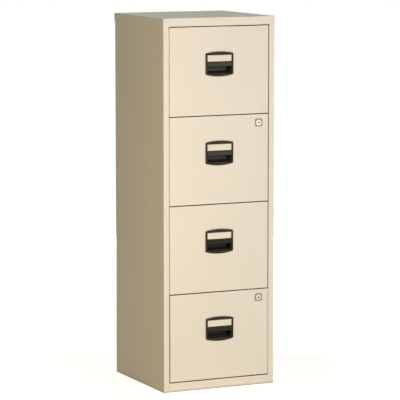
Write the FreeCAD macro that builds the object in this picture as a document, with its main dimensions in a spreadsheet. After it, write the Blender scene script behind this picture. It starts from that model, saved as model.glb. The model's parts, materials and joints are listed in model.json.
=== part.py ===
import FreeCAD, Part
import math
import os
import re
import Sketcher

# Filing cabinet with four drawers, in millimetres.
# The origin is on the floor at the middle of the cabinet. The drawers open towards -Y and +Z is up.
# Drawer 1 is the top one. Left and right are as seen from the front, so right is +X.

DRAWERS = (1, 2, 3, 4)
LOCKED_DRAWERS = (2, 4)

# Driving sizes: name, value and what it measures.
SIZES = [
    ("cabinet_width", 420, "over the cap"),
    ("cabinet_depth", 420, "from the drawer fronts to the rear edge of the cap"),
    ("cabinet_height", 1282, "floor to top"),
    ("sheet", 0.9, "steel sheet of the carcass and the drawers"),
    ("cap_lip", 28.6, "height of the lips of the cap"),
    ("cap_overhang", 4.5, "how far the cap stands past the back"),
    ("cap_return", 16, "depth of the return under the front lip of the cap"),
    ("stile_width", 20.6, "front strip of each side panel"),
    ("stile_return", 60, "depth of the fold that carries the front of the runners"),
    ("rear_flange", 16, "rear fold of each side panel"),
    ("floor_flange", 28, "bottom fold of each side panel"),
    ("plinth_height", 31.6, "strip under the lowest drawer"),
    ("plinth_return", 25, "depth of the folds of the bottom rail"),
    ("plinth_lip", 10, "down-turned edge behind the bottom rail"),
    ("floor_upstand", 20, "rear fold of the base panel"),
    ("front_gap", 3.0, "gap above and below each drawer front"),
    ("side_gap", 1.8, "gap beside each drawer front, where it is centred"),
    ("pan_depth", 18, "depth of the folded drawer front"),
    ("pan_side_lip", 22, "inner lip at the sides of the drawer front"),
    ("pan_edge_lip", 9, "inner lip at the top and bottom of the drawer front"),
    ("front_shift_1", -0.7, "how far front 1 is set to the right"),
    ("front_shift_2", -0.7, "how far front 2 is set to the right"),
    ("front_shift_3", -0.7, "how far front 3 is set to the right"),
    ("front_shift_4", 0.7, "how far front 4 is set to the right"),
    ("rail_setback", 10, "cross rail behind the face of the fronts"),
    ("rail_depth", 17, "depth of the cross rail"),
    ("rail_lip", 14, "down-turned edge behind the cross rail"),
    ("upright_place", 310, "middle of the rear uprights behind the front face"),
    ("upright_width", 40, "front to back size of a rear upright"),
    ("upright_foot", 12, "width of the feet of a rear upright"),
    ("upright_end_gap", 6, "space above and below a rear upright"),
    ("tray_length", 375, "drawer tray, front to back"),
    ("tray_height", 250, "drawer tray, underside to the top of its sides"),
    ("tray_rise", 14, "underside of the tray above the bottom edge of its front"),
    ("tray_back_height", 225, "rear wall of the tray"),
    ("tray_front_flange", 8, "folds that join the tray to its front"),
    ("file_ledge", 8, "inward fold along the top of the tray sides"),
    ("file_rail", 5, "upstand that the files hang on"),
    ("runner_width", 12.7, "one runner, side to side"),
    ("runner_height", 45.7, "outer runner member"),
    ("runner_length", 350, "each runner member"),
    ("runner_travel", 350, "how far a drawer opens"),
    ("runner_setback", 2, "runners behind the folded front"),
    ("runner_rise", 140, "middle of the runner above the bottom edge of its front"),
    ("runner_sheet", 1.2, "steel strip of the runner members"),
    ("runner_lip", 1.2, "turned edge of the outer runner member"),
    ("outer_reach", 11, "flange width of the outer and intermediate members"),
    ("middle_web_place", 2.4, "intermediate web from the face that the runner is fixed to"),
    ("inner_flange_place", 5, "edge of the inner flanges from the same face"),
    ("ball_diameter", 4, "runner balls"),
    ("ball_clearance", 0.15, "between a ball and each race"),
    ("ball_place", 7.2, "middle of the balls from the face that the runner is fixed to"),
    ("cage_sheet", 0.5, "strip of the ball cages"),
    ("cage_gap", 0.3, "cage web from the web beside it"),
    ("cage_reach", 10.3, "edge of the cage flanges from the fixing face"),
    ("cage_margin", 6, "cage end from where it would leave the races"),
    ("ball_end", 12, "last ball from the end of its cage"),
    ("rivet_diameter", 5, "shank of a runner rivet"),
    ("rivet_head", 9, "head of a runner rivet"),
    ("rivet_head_height", 1.6, "thickness of that head"),
    ("rivet_clearance", 0.05, "all round a rivet shank"),
    ("front_rivet_place", 20, "front rivet behind the end of the runner"),
    ("handle_width", 103, "over the rim"),
    ("handle_height", 84.2, "over both arches"),
    ("handle_drop", 127.4, "middle of the handle below the top edge of its front"),
    ("handle_top_rise", 5.5, "arch of the top edge"),
    ("handle_bottom_rise", 7, "arch of the bottom edge"),
    ("handle_corner", 3, "rounding of the corners"),
    ("handle_rim_width", 3, "raised rim"),
    ("handle_rim_height", 3.5, "rim above the drawer front"),
    ("handle_face_height", 2.3, "face inside the rim above the drawer front"),
    ("handle_wall", 2.2, "wall of the moulding"),
    ("handle_clearance", 0.5, "moulding in the cut-out of the front, all round"),
    ("mouth_width", 90, "finger recess at the face"),
    ("mouth_height", 21.2, "finger recess at the face"),
    ("mouth_drop", 9, "top of the finger recess below the middle of the handle"),
    ("mouth_chamfer", 2.8, "sloped lower edge of the finger recess"),
    ("mouth_taper", 7.7, "slope of the recess walls in degrees"),
    ("recess_depth", 28, "finger recess behind the drawer front"),
    ("grip_height", 14, "grip bar, top to bottom"),
    ("grip_rise", 6, "lower edge of the grip above the drawer front"),
    ("grip_thickness", 3, "grip bar behind the drawer front"),
    ("clip_height", 12, "snap ribs of the handle"),
    ("clip_reach", 1.5, "how far the snap ribs stand out"),
    ("clip_depth", 4, "front to back size of the snap ribs"),
    ("clip_gap", 0.3, "snap ribs behind the sheet of the front"),
    ("card_width", 92, "label card"),
    ("card_height", 21.2, "label card"),
    ("card_thickness", 0.4, "label card"),
    ("card_rise", 19.5, "middle of the card above the middle of the handle"),
    ("card_clearance", 0.2, "card in its seat, all round"),
    ("card_depth", 1.2, "floor of the seat below the handle face"),
    ("card_ear", 1.2, "how far the side lips hold the card"),
    ("card_ear_thickness", 0.6, "the side lips"),
    ("lock_inset", 37, "lock axis from the right edge of its front"),
    ("lock_drop", 28.8, "lock axis below the top edge of its front"),
    ("bezel_width", 26, "square bezel"),
    ("bezel_height", 2, "bezel above the drawer front"),
    ("bezel_corner", 3.5, "rounding of its corners"),
    ("housing_width", 22.6, "square housing behind the bezel"),
    ("housing_depth", 10, "housing behind the drawer front"),
    ("housing_clearance", 0.3, "housing in its cut-out, all round"),
    ("plug_face_diameter", 19.6, "visible disc of the plug"),
    ("plug_face_height", 1.4, "thickness of that disc"),
    ("plug_diameter", 14, "barrel of the plug"),
    ("plug_clearance", 0.1, "plug in the housing, all round"),
    ("key_slot_width", 7.6, "keyhole"),
    ("key_slot_height", 3.6, "keyhole"),
    ("key_slot_depth", 8, "keyhole"),
    ("tail_width", 6, "square tail of the plug"),
    ("cam_gap", 0.3, "cam behind the housing"),
    ("cam_thickness", 1.5, "cam disc"),
    ("cam_margin", 1, "cam disc around its pin"),
    ("crank", 6.5, "pin from the lock axis"),
    ("pin_diameter", 3, "cam pin"),
    ("pin_clearance", 0.3, "pin in the slot of the bolt, above and below"),
    ("pin_end_clearance", 0.4, "pin in the slot of the bolt at its ends"),
    ("pin_past_bolt", 1, "pin behind the bolt"),
    ("bolt_gap", 0.4, "bolt behind the cam"),
    ("bolt_thickness", 2, "bolt plate"),
    ("bolt_foot", 6.4, "bolt plate below its pin"),
    ("bolt_head", 5.6, "bolt plate above its pin"),
    ("bolt_side_gap", 0.3, "bolt plate in the ears of the housing"),
    ("bolt_back_gap", 0.3, "bolt plate in front of the hooks of the housing"),
    ("tongue_width", 8, "bolt where it passes the slots"),
    ("tongue_sunk", 0.5, "tip of the open bolt below the top of its front"),
    ("slot_clearance", 0.4, "bolt in the slots, all round"),
    ("ear_thickness", 1.5, "ears of the housing"),
    ("hook_reach", 1.2, "hooks at the ends of the ears"),
    ("hook_thickness", 1, "hooks at the ends of the ears"),
]
NAMES = [name for name, value, note in SIZES]

# Sizes worked out from the driving ones. Places are in the frame of the cabinet unless they say otherwise.
WORKED = {
    "half_cap": "cabinet_width / 2",
    "half_body": "half_cap - sheet",
    "half_inside": "half_body - sheet",
    "half_opening": "half_body - stile_width",
    "front_face": "-cabinet_depth / 2",
    "cap_back": "cabinet_depth / 2",
    "body_back": "cap_back - cap_overhang",
    "cap_underside": "cabinet_height - sheet",
    "opening_top": "cabinet_height - cap_lip",
    "drawer_count": str(len(DRAWERS)),
    "pitch": "(opening_top - plinth_height - front_gap) / drawer_count",
    "front_height": "pitch - front_gap",
    "half_front": "half_opening - side_gap",
    "pan_back": "front_face + pan_depth",
    "runner_front": "pan_back + runner_setback",
    "runner_back": "runner_front + runner_length",
    "tray_half": "half_opening - runner_width",
    "tray_back": "pan_back + tray_length",
    "tray_top": "tray_rise + tray_height",
    # Half heights of the races and the ball rows, from the outside of the runner in.
    "race_step": "ball_diameter + 2 * ball_clearance",
    "outer_race": "runner_height / 2 - runner_sheet",
    "middle_half": "outer_race - race_step",
    "inner_race": "middle_half - runner_sheet",
    "inner_half": "inner_race - race_step",
    "outer_ball_row": "(outer_race + middle_half) / 2",
    "inner_ball_row": "(inner_race + inner_half) / 2",
    # A cage moves a quarter or three quarters of the travel and must stay between both races.
    "cage_front": "runner_front + runner_travel / 4 + cage_margin",
    "cage_back": "runner_back - runner_travel / 4 - cage_margin",
    "rear_rivet_place": "front_face + upright_place",
    "upright_front": "rear_rivet_place - upright_width / 2",
    "upright_back": "rear_rivet_place + upright_width / 2",
    # The handle, about its own middle on the face of the drawer front.
    "handle_half": "handle_width / 2",
    "handle_rise": "front_height - handle_drop",
    "mouth_half": "mouth_width / 2",
    "mouth_top": "-mouth_drop",
    "mouth_bottom": "-mouth_drop - mouth_height",
    "grip_top": "mouth_top + grip_height",
    "moulding_half": "mouth_half + handle_wall",
    "moulding_top": "grip_top",
    "moulding_bottom": "mouth_bottom - handle_wall",
    "card_floor": "-(handle_face_height - card_depth)",
    # The lock, in the frame of its front: across from the middle, up from the bottom edge.
    "lock_across": "half_front - lock_inset",
    "lock_rise": "front_height - lock_drop",
    # Depths behind the drawer front for the pieces behind the lock.
    "cam_front": "housing_depth + cam_gap",
    "bolt_front": "cam_front + cam_thickness + bolt_gap",
    "bolt_back": "bolt_front + bolt_thickness",
    "pin_back": "bolt_back + pin_past_bolt",
    "hook_front": "bolt_back + bolt_back_gap",
    "hook_back": "hook_front + hook_thickness",
    "housing_half": "housing_width / 2",
    "ear_inside": "housing_half - ear_thickness",
    "bolt_half": "ear_inside - bolt_side_gap",
    "pin_offset": "crank * sqrt(2) / 2",
    "cam_radius": "crank + pin_diameter / 2 + cam_margin",
}

doc = FreeCAD.newDocument("FilingCabinet")
parts = []


def make_sheet():
    """Put every driving size in a spreadsheet under its own name."""
    sheet = doc.addObject("Spreadsheet::Sheet", "Sizes")
    for row, (name, value, note) in enumerate(SIZES, start=1):
        sheet.set(f"A{row}", name)
        sheet.set(f"B{row}", str(value))
        sheet.set(f"C{row}", note)
        sheet.setAlias(f"B{row}", name)
    doc.recompute()
    return sheet


def formula(text):
    """Write a formula in size names as one that the document can bind."""

    def one_word(match):
        word = match.group(0)
        if word in WORKED:
            return "(" + formula(WORKED[word]) + ")"
        if word in NAMES:
            return "Sizes." + word
        return word

    return re.sub(r"[a-z][a-z0-9_]*", one_word, text)


def bind(thing, target, text):
    thing.setExpression(target, formula(text))


def present(text):
    """The value that a formula has now."""
    return float(sizes.evalExpression(formula(text)))


def finish_part(thing, label, across=None, up=None):
    """Name a finished piece, set it at its place and list it."""
    thing.Label = label
    if across is not None:
        bind(thing, "Placement.Base.x", across)
    if up is not None:
        bind(thing, "Placement.Base.z", up)
    parts.append(thing)
    return thing


# Building blocks


def block(name, across, deep, up):
    """A box between two places along X, along Y and along Z."""
    box = doc.addObject("Part::Box", name)
    for size, axis, (low, high) in (("Length", "x", across), ("Width", "y", deep), ("Height", "z", up)):
        bind(box, size, f"({high}) - ({low})")
        bind(box, f"Placement.Base.{axis}", low)
    return box


def joined(name, pieces):
    fusion = doc.addObject("Part::MultiFuse", name)
    fusion.Shapes = pieces
    fusion.Refine = True
    return fusion


def together(name, pieces):
    """Separate solids that share one name."""
    group = doc.addObject("Part::Compound", name)
    group.Links = pieces
    return group


def cut(name, base, tools):
    """What is left of the base when every tool is taken out of it."""
    result = doc.addObject("Part::Cut", name)
    result.Base = base
    result.Tool = tools[0] if len(tools) == 1 else together(f"{name}_tools", tools)
    return result


def mirrored(name, source):
    """The left-hand copy of a right-hand piece."""
    copy = doc.addObject("Part::Mirroring", name)
    copy.Source = source
    copy.Normal = FreeCAD.Vector(1, 0, 0)
    return copy


def rod_along_x(name, radius, across, deep, up):
    """A cylinder between two places along X."""
    rod = doc.addObject("Part::Cylinder", name)
    rod.Placement.Rotation = FreeCAD.Rotation(FreeCAD.Vector(0, 1, 0), 90)
    bind(rod, "Radius", radius)
    bind(rod, "Height", f"({across[1]}) - ({across[0]})")
    bind(rod, "Placement.Base.x", across[0])
    bind(rod, "Placement.Base.y", deep)
    bind(rod, "Placement.Base.z", up)
    return rod


# Sketches and the features made from them


def new_sketch(body, name, plane, offset="0"):
    """A sketch on an origin plane of its body, moved along the normal of that plane.

    The normals are +Z for the XY plane, -Y for the XZ plane and +X for the YZ plane.
    """
    sketch = body.newObject("Sketcher::SketchObject", name)
    support = [feature for feature in body.Origin.OriginFeatures if feature.Role == plane]
    sketch.AttachmentSupport = [(support[0], "")]
    sketch.MapMode = "FlatFace"
    bind(sketch, "AttachmentOffset.Base.z", offset)
    return sketch


def pin_distance(sketch, kind, geometry, point, text):
    """Hold one point of a sketch at a distance across (DistanceX) or up (DistanceY) from the origin."""
    number = sketch.addConstraint(Sketcher.Constraint(kind, -1, 1, geometry, point, present(text)))
    bind(sketch, f"Constraints[{number}]", text)


def pin_point(sketch, geometry, point, across, up):
    pin_distance(sketch, "DistanceX", geometry, point, across)
    pin_distance(sketch, "DistanceY", geometry, point, up)


def draw_outline(sketch, corners):
    """A closed outline of straight lines through corners given as formulas."""
    places = [FreeCAD.Vector(present(across), present(up), 0) for across, up in corners]
    lines = []
    for start, end in zip(places, places[1:] + places[:1]):
        lines.append(sketch.addGeometry(Part.LineSegment(start, end)))
    for line, following in zip(lines, lines[1:] + lines[:1]):
        sketch.addConstraint(Sketcher.Constraint("Coincident", line, 2, following, 1))
    for line, (across, up) in zip(lines, corners):
        pin_point(sketch, line, 1, across, up)


def draw_rectangle(sketch, across, up):
    (left, right), (low, high) = across, up
    draw_outline(sketch, [(left, low), (right, low), (right, high), (left, high)])


def draw_circle(sketch, radius, across="0", up="0"):
    centre = FreeCAD.Vector(present(across), present(up), 0)
    circle = sketch.addGeometry(Part.Circle(centre, FreeCAD.Vector(0, 0, 1), present(radius)))
    pin_point(sketch, circle, 3, across, up)
    number = sketch.addConstraint(Sketcher.Constraint("Radius", circle, present(radius)))
    bind(sketch, f"Constraints[{number}]", radius)


def add_feature(body, kind, sketch, length, backwards=False, midplane=False):
    """Pad or pocket a sketch. A pad grows along the normal and a pocket cuts against it."""
    feature = body.newObject(f"PartDesign::{kind}", f"{sketch.Name}_{kind}")
    feature.Profile = sketch
    feature.Reversed = backwards
    feature.Midplane = midplane
    bind(feature, "Length", length)
    doc.recompute()
    return feature


def side_of(start, end):
    """The direction to the left of a straight run, as whole steps."""
    run = end - start
    length = run.Length
    return round(-run.y / length), round(run.x / length)


def folded_outline(path, thickness):
    """The outline of a sheet whose one face follows a path of square folds.

    The thickness lies to the left of the path.
    """
    places = [FreeCAD.Vector(present(across), present(up), 0) for across, up in path]
    sides = [side_of(start, end) for start, end in zip(places, places[1:])]
    inner = []
    for number, (across, up) in enumerate(path):
        before = sides[max(number - 1, 0)]
        after = sides[min(number, len(sides) - 1)]
        steps = before if before == after else (before[0] + after[0], before[1] + after[1])
        inner.append((f"{across} + ({steps[0]}) * {thickness}", f"{up} + ({steps[1]}) * {thickness}"))
    return path + inner[::-1]


def extruded(name, plane, outline, start, end):
    """A body with one outline, padded between two places along the normal axis of its plane."""
    body = doc.addObject("PartDesign::Body", name)
    offset = f"-({end})" if plane == "XZ_Plane" else start
    sketch = new_sketch(body, f"{name}_sketch", plane, offset)
    draw_outline(sketch, outline)
    add_feature(body, "Pad", sketch, f"({end}) - ({start})")
    return body


# Carcass


def rivet_places():
    """Where the outer runners are riveted, as depth and height."""
    for number in DRAWERS:
        height = f"{drawer_base(number)} + runner_rise"
        yield "runner_front + front_rivet_place", height
        yield "rear_rivet_place", height


def rivet_holes(name):
    """Holes for the runner rivets on the right-hand side."""
    holes = []
    for count, (deep, up) in enumerate(rivet_places(), start=1):
        reach = ("half_opening - 2 * runner_sheet", "half_opening + 2 * sheet")
        holes.append(rod_along_x(f"{name}_{count}", "rivet_diameter / 2 + rivet_clearance", reach, deep, up))
    return holes


def side_panel_right():
    """Side skin with the front stile, its deep return, the rear flange and the bottom flange."""
    path = [
        ("half_opening", "front_face + stile_return"),
        ("half_opening", "front_face"),
        ("half_body", "front_face"),
        ("half_body", "body_back"),
        ("half_body - rear_flange", "body_back"),
    ]
    folded = extruded("side_fold", "XY_Plane", folded_outline(path, "sheet"), "0", "cap_underside")
    lip_space = block(
        "side_cap_notch",
        ("half_opening - sheet", "half_cap"),
        ("front_face - sheet", "front_face + sheet"),
        ("opening_top", "cabinet_height"),
    )
    return_space = block(
        "side_return_notch",
        ("half_opening - sheet", "half_inside"),
        ("front_face - sheet", "front_face + stile_return + sheet"),
        ("opening_top", "cabinet_height"),
    )
    floor_fold = block(
        "side_floor_fold",
        ("half_body - floor_flange", "half_inside"),
        ("front_face + stile_return", "body_back - 2 * sheet"),
        ("0", "sheet"),
    )
    notched = cut("side_notched", folded, [lip_space, return_space] + rivet_holes("side_hole"))
    return joined("side_right", [notched, floor_fold])


def cap():
    """Top panel: a flat sheet with four lips and a return under the front one."""
    outside = block(
        "cap_outside",
        ("-half_cap", "half_cap"),
        ("front_face", "cap_back"),
        ("opening_top", "cabinet_height"),
    )
    inside = block(
        "cap_inside",
        ("-half_body", "half_body"),
        ("front_face + sheet", "cap_back - sheet"),
        ("opening_top - sheet", "cap_underside"),
    )
    fold = block(
        "cap_fold",
        ("-half_opening", "half_opening"),
        ("front_face + sheet", "front_face + cap_return"),
        ("opening_top", "opening_top + sheet"),
    )
    return joined("cap", [cut("cap_shell", outside, [inside]), fold])


def back():
    """Back panel, inside the rear flanges of the sides."""
    return block(
        "back",
        ("-half_inside", "half_inside"),
        ("body_back - 2 * sheet", "body_back - sheet"),
        ("0", "cap_underside"),
    )


def base():
    """Floor sheet on the bottom flanges, with an upstand against the back panel."""
    path = [
        ("front_face + sheet", "sheet"),
        ("body_back - 2 * sheet", "sheet"),
        ("body_back - 2 * sheet", "sheet + floor_upstand"),
    ]
    return extruded("base", "YZ_Plane", folded_outline(path, "sheet"), "-half_opening", "half_opening")


def bottom_rail():
    """Channel under the lowest drawer, flush with the stiles, with a down-turned rear edge."""
    path = [
        ("front_face + plinth_return", "plinth_height - plinth_lip"),
        ("front_face + plinth_return", "plinth_height"),
        ("front_face", "plinth_height"),
        ("front_face", "0"),
        ("front_face + plinth_return", "0"),
    ]
    return extruded("plinth", "YZ_Plane", folded_outline(path, "sheet"), "-half_opening", "half_opening")


def cross_rail(number):
    """Rail behind the gap between two drawers, with a slot for the bolt from the lower one."""
    middle = f"{drawer_base(number)} - front_gap / 2"
    name = f"rail_{number}"
    path = [
        ("front_face + rail_setback + rail_depth", f"{middle} - rail_lip"),
        ("front_face + rail_setback + rail_depth", f"{middle} + sheet / 2"),
        ("front_face + rail_setback", f"{middle} + sheet / 2"),
    ]
    rail = extruded(name, "YZ_Plane", folded_outline(path, "sheet"), "-half_opening", "half_opening")
    slot = bolt_slot(f"{name}_slot", f"lock_across + front_shift_{number + 1}", middle)
    return cut(f"{name}_slotted", rail, [slot])


def rear_upright():
    """Column on the right-hand side panel that carries the rear of the runners."""
    path = [
        ("half_inside - sheet", "upright_back + upright_foot"),
        ("half_inside - sheet", "upright_back"),
        ("half_opening", "upright_back"),
        ("half_opening", "upright_front"),
        ("half_inside - sheet", "upright_front"),
        ("half_inside - sheet", "upright_front - upright_foot"),
    ]
    outline = folded_outline(path, "sheet")
    ends = ("2 * sheet + upright_end_gap", "opening_top - upright_end_gap")
    column = extruded("upright", "XY_Plane", outline, *ends)
    return cut("upright_drilled", column, rivet_holes("upright_hole"))


def runner_rivets():
    """Rivets through the outer runners and what carries them, with their heads outside."""
    rivets = []
    for count, (deep, up) in enumerate(rivet_places(), start=1):
        shank = rod_along_x(
            f"rivet_shank_{count}",
            "rivet_diameter / 2",
            ("half_opening - runner_sheet", "half_opening + sheet"),
            deep,
            up,
        )
        head = rod_along_x(
            f"rivet_head_{count}",
            "rivet_head / 2",
            ("half_opening + sheet", "half_opening + sheet + rivet_head_height"),
            deep,
            up,
        )
        rivet = joined(f"rivet_{count}", [shank, head])
        rivets.append(rivet)
        rivets.append(mirrored(f"rivet_left_{count}", rivet))
    return together("rivets", rivets)


# Runners. Profiles are drawn from the face that the runner is fixed to, towards the drawer.


def from_fixing(distance):
    return f"half_opening - ({distance})"


def runner_member(name, reach, near, half, extra=None):
    """One C-shaped member of a right-hand runner, open towards the drawer or towards the cabinet."""
    path = [
        (from_fixing(reach), f"-({half})"),
        (from_fixing(near), f"-({half})"),
        (from_fixing(near), half),
        (from_fixing(reach), half),
    ]
    if extra:
        path = [(path[0][0], f"-({half}) + {extra}")] + path + [(path[0][0], f"{half} - ({extra})")]
    opens_inward = present(reach) > present(near)
    outline = folded_outline(path if opens_inward else path[::-1], "runner_sheet")
    return extruded(name, "XZ_Plane", outline, "runner_front", "runner_back")


def pair(name, right_piece):
    """A right-hand piece with its left-hand copy."""
    return together(f"{name}_pair", [right_piece, mirrored(f"{name}_left", right_piece)])


def outer_runners(number):
    name = f"outer_runner_{number}"
    channel = runner_member(name, "outer_reach", "0", "runner_height / 2", "runner_sheet + runner_lip")
    holes = []
    for count, deep in enumerate(("runner_front + front_rivet_place", "rear_rivet_place"), start=1):
        reach = (from_fixing("2 * runner_sheet"), from_fixing("-runner_sheet"))
        radius = "rivet_diameter / 2 + rivet_clearance"
        holes.append(rod_along_x(f"{name}_hole_{count}", radius, reach, deep, "0"))
    return pair(name, cut(f"{name}_drilled", channel, holes))


def middle_runners(number):
    name = f"middle_runner_{number}"
    return pair(name, runner_member(name, "outer_reach", "middle_web_place", "middle_half"))


def inner_runners(number):
    name = f"inner_runner_{number}"
    return pair(name, runner_member(name, "inner_flange_place", "runner_width", "inner_half"))


def ball_cage(name, web, row):
    """A right-hand cage: a thin channel with balls in its two flanges."""
    path = [
        (from_fixing("cage_reach"), f"-({row}) - cage_sheet / 2"),
        (from_fixing(web), f"-({row}) - cage_sheet / 2"),
        (from_fixing(web), f"{row} + cage_sheet / 2"),
        (from_fixing("cage_reach"), f"{row} + cage_sheet / 2"),
    ]
    outline = folded_outline(path, "cage_sheet")
    channel = extruded(f"{name}_strip", "XZ_Plane", outline, "cage_front", "cage_back")
    middle = "(cage_front + cage_back) / 2"
    balls = []
    holes = []
    for along, deep in enumerate(("cage_front + ball_end", middle, "cage_back - ball_end"), start=1):
        for level, up in (("low", f"-({row})"), ("high", row)):
            ball = doc.addObject("Part::Sphere", f"{name}_ball_{level}_{along}")
            hole = doc.addObject("Part::Cylinder", f"{name}_hole_{level}_{along}")
            bind(ball, "Radius", "ball_diameter / 2")
            bind(hole, "Radius", "ball_diameter / 2 + ball_clearance")
            bind(hole, "Height", "4 * cage_sheet")
            for thing, height in ((ball, up), (hole, f"{up} - 2 * cage_sheet")):
                bind(thing, "Placement.Base.x", from_fixing("ball_place"))
                bind(thing, "Placement.Base.y", deep)
                bind(thing, "Placement.Base.z", height)
            balls.append(ball)
            holes.append(hole)
    return together(f"{name}_right", [cut(f"{name}_channel", channel, holes)] + balls)


def ball_cages(number, stage):
    """Both cages of one stage: outer, between the outer and the intermediate member, or inner."""
    name = f"{stage}_cage_{number}"
    if stage == "outer":
        right_cage = ball_cage(name, "runner_sheet + cage_gap", "outer_ball_row")
    else:
        right_cage = ball_cage(name, "middle_web_place + runner_sheet + cage_gap", "inner_ball_row")
    return pair(name, right_cage)


# Drawers. Up from the bottom edge of the front and across from its middle.


def drawer_base(number):
    """Height of the bottom edge of a drawer front."""
    return f"plinth_height + front_gap + (drawer_count - {number}) * pitch"


def bolt_slot(name, across, up):
    """The space for the lock bolt through a horizontal sheet."""
    half = "tongue_width / 2 + slot_clearance"
    return block(
        name,
        (f"{across} - ({half})", f"{across} + {half}"),
        ("front_face + bolt_front - slot_clearance", "front_face + bolt_back + slot_clearance"),
        (f"{up} - 2 * sheet", f"{up} + 2 * sheet"),
    )


def drawer_front(number):
    """A pan folded from one sheet, with the cut-outs of its handle and lock and the slots of the bolts."""
    name = f"front_{number}"
    whole = block(
        f"{name}_whole",
        ("-half_front", "half_front"),
        ("front_face", "pan_back"),
        ("0", "front_height"),
    )
    hollow = block(
        f"{name}_hollow",
        ("-half_front + sheet", "half_front - sheet"),
        ("front_face + sheet", "pan_back - sheet"),
        ("sheet", "front_height - sheet"),
    )
    rear_opening = block(
        f"{name}_opening",
        ("-half_front + pan_side_lip", "half_front - pan_side_lip"),
        ("pan_back - 2 * sheet", "pan_back + sheet"),
        ("pan_edge_lip", "front_height - pan_edge_lip"),
    )
    handle_hole = block(
        f"{name}_handle_hole",
        ("-moulding_half - handle_clearance", "moulding_half + handle_clearance"),
        ("front_face - sheet", "front_face + 2 * sheet"),
        (
            "handle_rise + moulding_bottom - handle_clearance",
            "handle_rise + moulding_top + handle_clearance",
        ),
    )
    tools = [hollow, rear_opening, handle_hole]
    if number in LOCKED_DRAWERS:
        half = "housing_half + housing_clearance"
        tools.append(
            block(
                f"{name}_lock_hole",
                (f"lock_across - ({half})", f"lock_across + {half}"),
                ("front_face - sheet", "front_face + 2 * sheet"),
                (f"lock_rise - ({half})", f"lock_rise + {half}"),
            )
        )
        tools.append(bolt_slot(f"{name}_bolt_guide", "lock_across", "front_height - sheet / 2"))
    if number + 1 in LOCKED_DRAWERS:
        across = f"lock_across + front_shift_{number + 1} - front_shift_{number}"
        tools.append(bolt_slot(f"{name}_bolt_keep", across, "sheet / 2"))
    return cut(name, whole, tools)


def drawer_tray(number):
    """Bottom, sides and back in one sheet, with hanging rails on the sides and flanges at the front."""
    name = f"tray_{number}"
    whole = block(
        f"{name}_whole",
        ("-tray_half", "tray_half"),
        ("pan_back", "tray_back"),
        ("tray_rise", "tray_top"),
    )
    hollow = block(
        f"{name}_hollow",
        ("-tray_half + sheet", "tray_half - sheet"),
        ("pan_back - sheet", "tray_back - sheet"),
        ("tray_rise + sheet", "tray_top + sheet"),
    )
    above_back = block(
        f"{name}_above_back",
        ("-tray_half + sheet", "tray_half - sheet"),
        ("tray_back - 2 * sheet", "tray_back + sheet"),
        ("tray_rise + tray_back_height", "tray_top + sheet"),
    )
    whole_length = ("pan_back", "tray_back")
    front_edge = ("pan_back", "pan_back + sheet")
    folds = []
    for fold, near, far, deep, up in (
        ("ledge", "tray_half - file_ledge", "tray_half", whole_length, ("tray_top - sheet", "tray_top")),
        (
            "rail",
            "tray_half - file_ledge",
            "tray_half - file_ledge + sheet",
            whole_length,
            ("tray_top - sheet", "tray_top + file_rail"),
        ),
        ("flange", "tray_half - tray_front_flange", "tray_half", front_edge, ("tray_rise", "tray_top")),
    ):
        right_fold = block(f"{name}_{fold}", (near, far), deep, up)
        folds.append(right_fold)
        folds.append(mirrored(f"{name}_{fold}_left", right_fold))
    return joined(name, [cut(f"{name}_trough", whole, [hollow, above_back])] + folds)


# Handle, about its own middle. The face of the drawer front is at zero depth.


def draw_arched_outline(sketch, inset):
    """Two upright sides joined by a shallow arch above and below, all moved in by an inset."""
    half = f"(handle_half - {inset})"
    ends = {}
    arcs = {}
    for place, sign, rise in (("top", 1, "handle_top_rise"), ("bottom", -1, "handle_bottom_rise")):
        outer_radius = f"((handle_half * handle_half + {rise} * {rise}) / (2 * {rise}))"
        radius = f"({outer_radius} - {inset})"
        centre = f"({sign}) * (handle_height / 2 - {outer_radius})"
        ends[place] = f"{centre} + ({sign}) * sqrt({radius} * {radius} - {half} * {half})"
        circle = Part.Circle(
            FreeCAD.Vector(0, present(centre), 0), FreeCAD.Vector(0, 0, 1), present(radius)
        )
        half_angle = math.asin(present(half) / present(radius))
        middle_angle = sign * math.pi / 2
        arc = Part.ArcOfCircle(circle, middle_angle - half_angle, middle_angle + half_angle)
        arcs[place] = sketch.addGeometry(arc)
        pin_distance(sketch, "DistanceY", arcs[place], 3, centre)
    for sign, top_end, bottom_end in ((-1, 2, 1), (1, 1, 2)):
        across = f"({sign}) * {half}"
        low = FreeCAD.Vector(present(across), present(ends["bottom"]), 0)
        high = FreeCAD.Vector(present(across), present(ends["top"]), 0)
        line = sketch.addGeometry(Part.LineSegment(low, high))
        pin_point(sketch, line, 1, across, ends["bottom"])
        pin_point(sketch, line, 2, across, ends["top"])
        sketch.addConstraint(Sketcher.Constraint("Coincident", arcs["top"], top_end, line, 2))
        sketch.addConstraint(Sketcher.Constraint("Coincident", arcs["bottom"], bottom_end, line, 1))


def edges_at_corners(shape, half):
    """Names of the straight edges along Y at the corners of the handle."""
    names = []
    for number, edge in enumerate(shape.Edges, start=1):
        ends = [vertex.Point for vertex in edge.Vertexes]
        if len(ends) == 2 and abs(ends[0].x - ends[1].x) < 0.01 and abs(ends[0].z - ends[1].z) < 0.01:
            if abs(abs(ends[0].x) - half) < 0.01:
                names.append(f"Edge{number}")
    return names


def round_corners(body, feature, radius, half):
    fillet = body.newObject("PartDesign::Fillet", f"{body.Name}_corners")
    fillet.Base = (feature, edges_at_corners(feature.Shape, half))
    bind(fillet, "Radius", radius)
    doc.recompute()
    return fillet


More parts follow.
